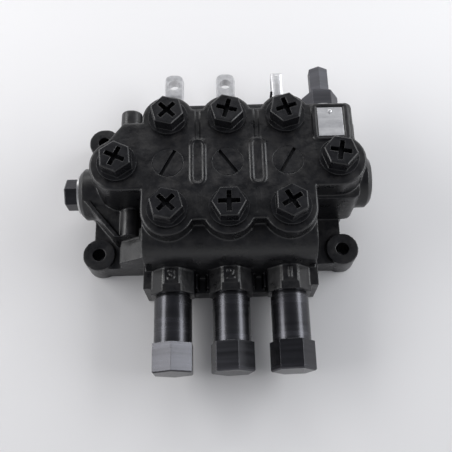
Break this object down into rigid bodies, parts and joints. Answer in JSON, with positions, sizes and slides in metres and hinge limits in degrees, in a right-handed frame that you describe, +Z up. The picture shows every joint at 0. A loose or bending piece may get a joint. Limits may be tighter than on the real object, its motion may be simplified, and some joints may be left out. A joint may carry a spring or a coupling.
{
  "type": "directional control valve",
  "caption": "Monoblock directional control valve with plugged work ports on the deck, sliding spools with holed tongues, spring caps and a relief valve",
  "frame": {"origin": "on the underside of the casting, below the middle spool and between the two rows of work ports", "axes": "+X along the row of spools from the tank end to the inlet end, +Y along the spools towards their tongues, +Z up to the deck"},
  "size_m": [0.2075, 0.2192, 0.0813],
  "materials": {
    "black_casting": "satin black paint over a sand-cast surface",
    "black_plastic": "moulded black plastic",
    "black_steel": "black painted or black oxide turned steel",
    "seal_rubber": "matt nitrile rubber",
    "spring_steel": "drawn spring wire",
    "plate_aluminium": "bare satin sheet",
    "zinc_washer": "zinc plated",
    "spool_steel": "ground and zinc plated steel",
    "bright_steel": "turned steel"
  },
  "bodies": {
    "housing": {"valve_body": "black_casting", "load_check_seals": "seal_rubber", "spring_washers": "bright_steel", "spool_seals_front": "seal_rubber", "spool_seals_rear": "seal_rubber", "spool_wipers": "seal_rubber", "seal_retainer": "black_steel", "retainer_screws": "black_steel", "locating_pin": "black_steel", "side_plug_washer": "zinc_washer", "side_plug_left": "black_steel", "side_plug_right": "black_steel", "relief_cartridge": "black_steel", "relief_washer": "zinc_washer", "relief_spring": "spring_steel", "relief_cap": "black_steel", "name_plate": "plate_aluminium", "name_plate_rivet": "plate_aluminium", "port_plug_left": "black_plastic", "port_plug_right": "black_plastic", "port_plug_a1": "black_plastic", "port_plug_b1": "black_plastic", "load_check_plug_1": "black_steel", "load_check_spring_1": "spring_steel", "centring_spring_inner_1": "spring_steel", "centring_spring_outer_1": "spring_steel", "spring_cap_1": "black_steel", "port_plug_a2": "black_plastic", "port_plug_b2": "black_plastic", "load_check_plug_2": "black_steel", "load_check_spring_2": "spring_steel", "centring_spring_inner_2": "spring_steel", "centring_spring_outer_2": "spring_steel", "spring_cap_2": "black_steel", "port_plug_a3": "black_plastic", "port_plug_b3": "black_plastic", "load_check_plug_3": "black_steel", "load_check_spring_3": "spring_steel", "centring_spring_inner_3": "spring_steel", "centring_spring_outer_3": "spring_steel", "spring_cap_3": "black_steel"},
    "spool_1": {"spool_1": "spool_steel", "centring_stud_1": "bright_steel"},
    "spool_2": {"spool_2": "spool_steel", "centring_stud_2": "bright_steel"},
    "spool_3": {"spool_3": "spool_steel", "centring_stud_3": "bright_steel"},
    "load_check_poppet_1": {"load_check_poppet_1": "bright_steel"},
    "load_check_poppet_2": {"load_check_poppet_2": "bright_steel"},
    "load_check_poppet_3": {"load_check_poppet_3": "bright_steel"},
    "relief_poppet": {"relief_poppet": "bright_steel"},
    "relief_spring_seat": {"relief_spring_seat": "bright_steel"},
    "relief_adjusting_screw": {"relief_adjusting_screw": "bright_steel"}
  },
  "joints": [
    {"name": "spool_1_slide", "type": "slide", "parent": "housing", "child": "spool_1", "axis": [0, 1, 0], "range_m": [-0.0065, 0.0065], "stiffness_N_per_m": 6000, "deforming": ["centring_spring_inner_1", "centring_spring_outer_1"]},
    {"name": "spool_2_slide", "type": "slide", "parent": "housing", "child": "spool_2", "axis": [0, 1, 0], "range_m": [-0.0065, 0.0065], "stiffness_N_per_m": 6000, "deforming": ["centring_spring_inner_2", "centring_spring_outer_2"]},
    {"name": "spool_3_slide", "type": "slide", "parent": "housing", "child": "spool_3", "axis": [0, 1, 0], "range_m": [-0.0065, 0.0065], "stiffness_N_per_m": 6000, "deforming": ["centring_spring_inner_3", "centring_spring_outer_3"]},
    {"name": "load_check_1_lift", "type": "slide", "parent": "housing", "child": "load_check_poppet_1", "axis": [0, 0, 1], "range_m": [0, 0.0025], "stiffness_N_per_m": 200, "springref_m": -0.003, "deforming": ["load_check_spring_1"]},
    {"name": "load_check_2_lift", "type": "slide", "parent": "housing", "child": "load_check_poppet_2", "axis": [0, 0, 1], "range_m": [0, 0.0025], "stiffness_N_per_m": 200, "springref_m": -0.003, "deforming": ["load_check_spring_2"]},
    {"name": "load_check_3_lift", "type": "slide", "parent": "housing", "child": "load_check_poppet_3", "axis": [0, 0, 1], "range_m": [0, 0.0025], "stiffness_N_per_m": 200, "springref_m": -0.003, "deforming": ["load_check_spring_3"]},
    {"name": "relief_lift", "type": "slide", "parent": "housing", "child": "relief_poppet", "axis": [0, 1, 0], "range_m": [0, 0.0015], "stiffness_N_per_m": 200, "springref_m": -0.01, "deforming": ["relief_spring"]},
    {"name": "relief_seat_advance", "type": "slide", "parent": "housing", "child": "relief_spring_seat", "axis": [0, -1, 0], "range_m": [0, 0.003], "deforming": ["relief_spring"]},
    {"name": "relief_screw_turn", "type": "hinge", "parent": "relief_spring_seat", "child": "relief_adjusting_screw", "pos_m": [0.067, 0.05, 0.038], "axis": [0, -1, 0], "range_deg": [0, 1080]}
  ],
  "couplings": [
    {"joint": "relief_screw_turn", "follows": "relief_seat_advance", "rad_per_m": 6283.2}
  ]
}
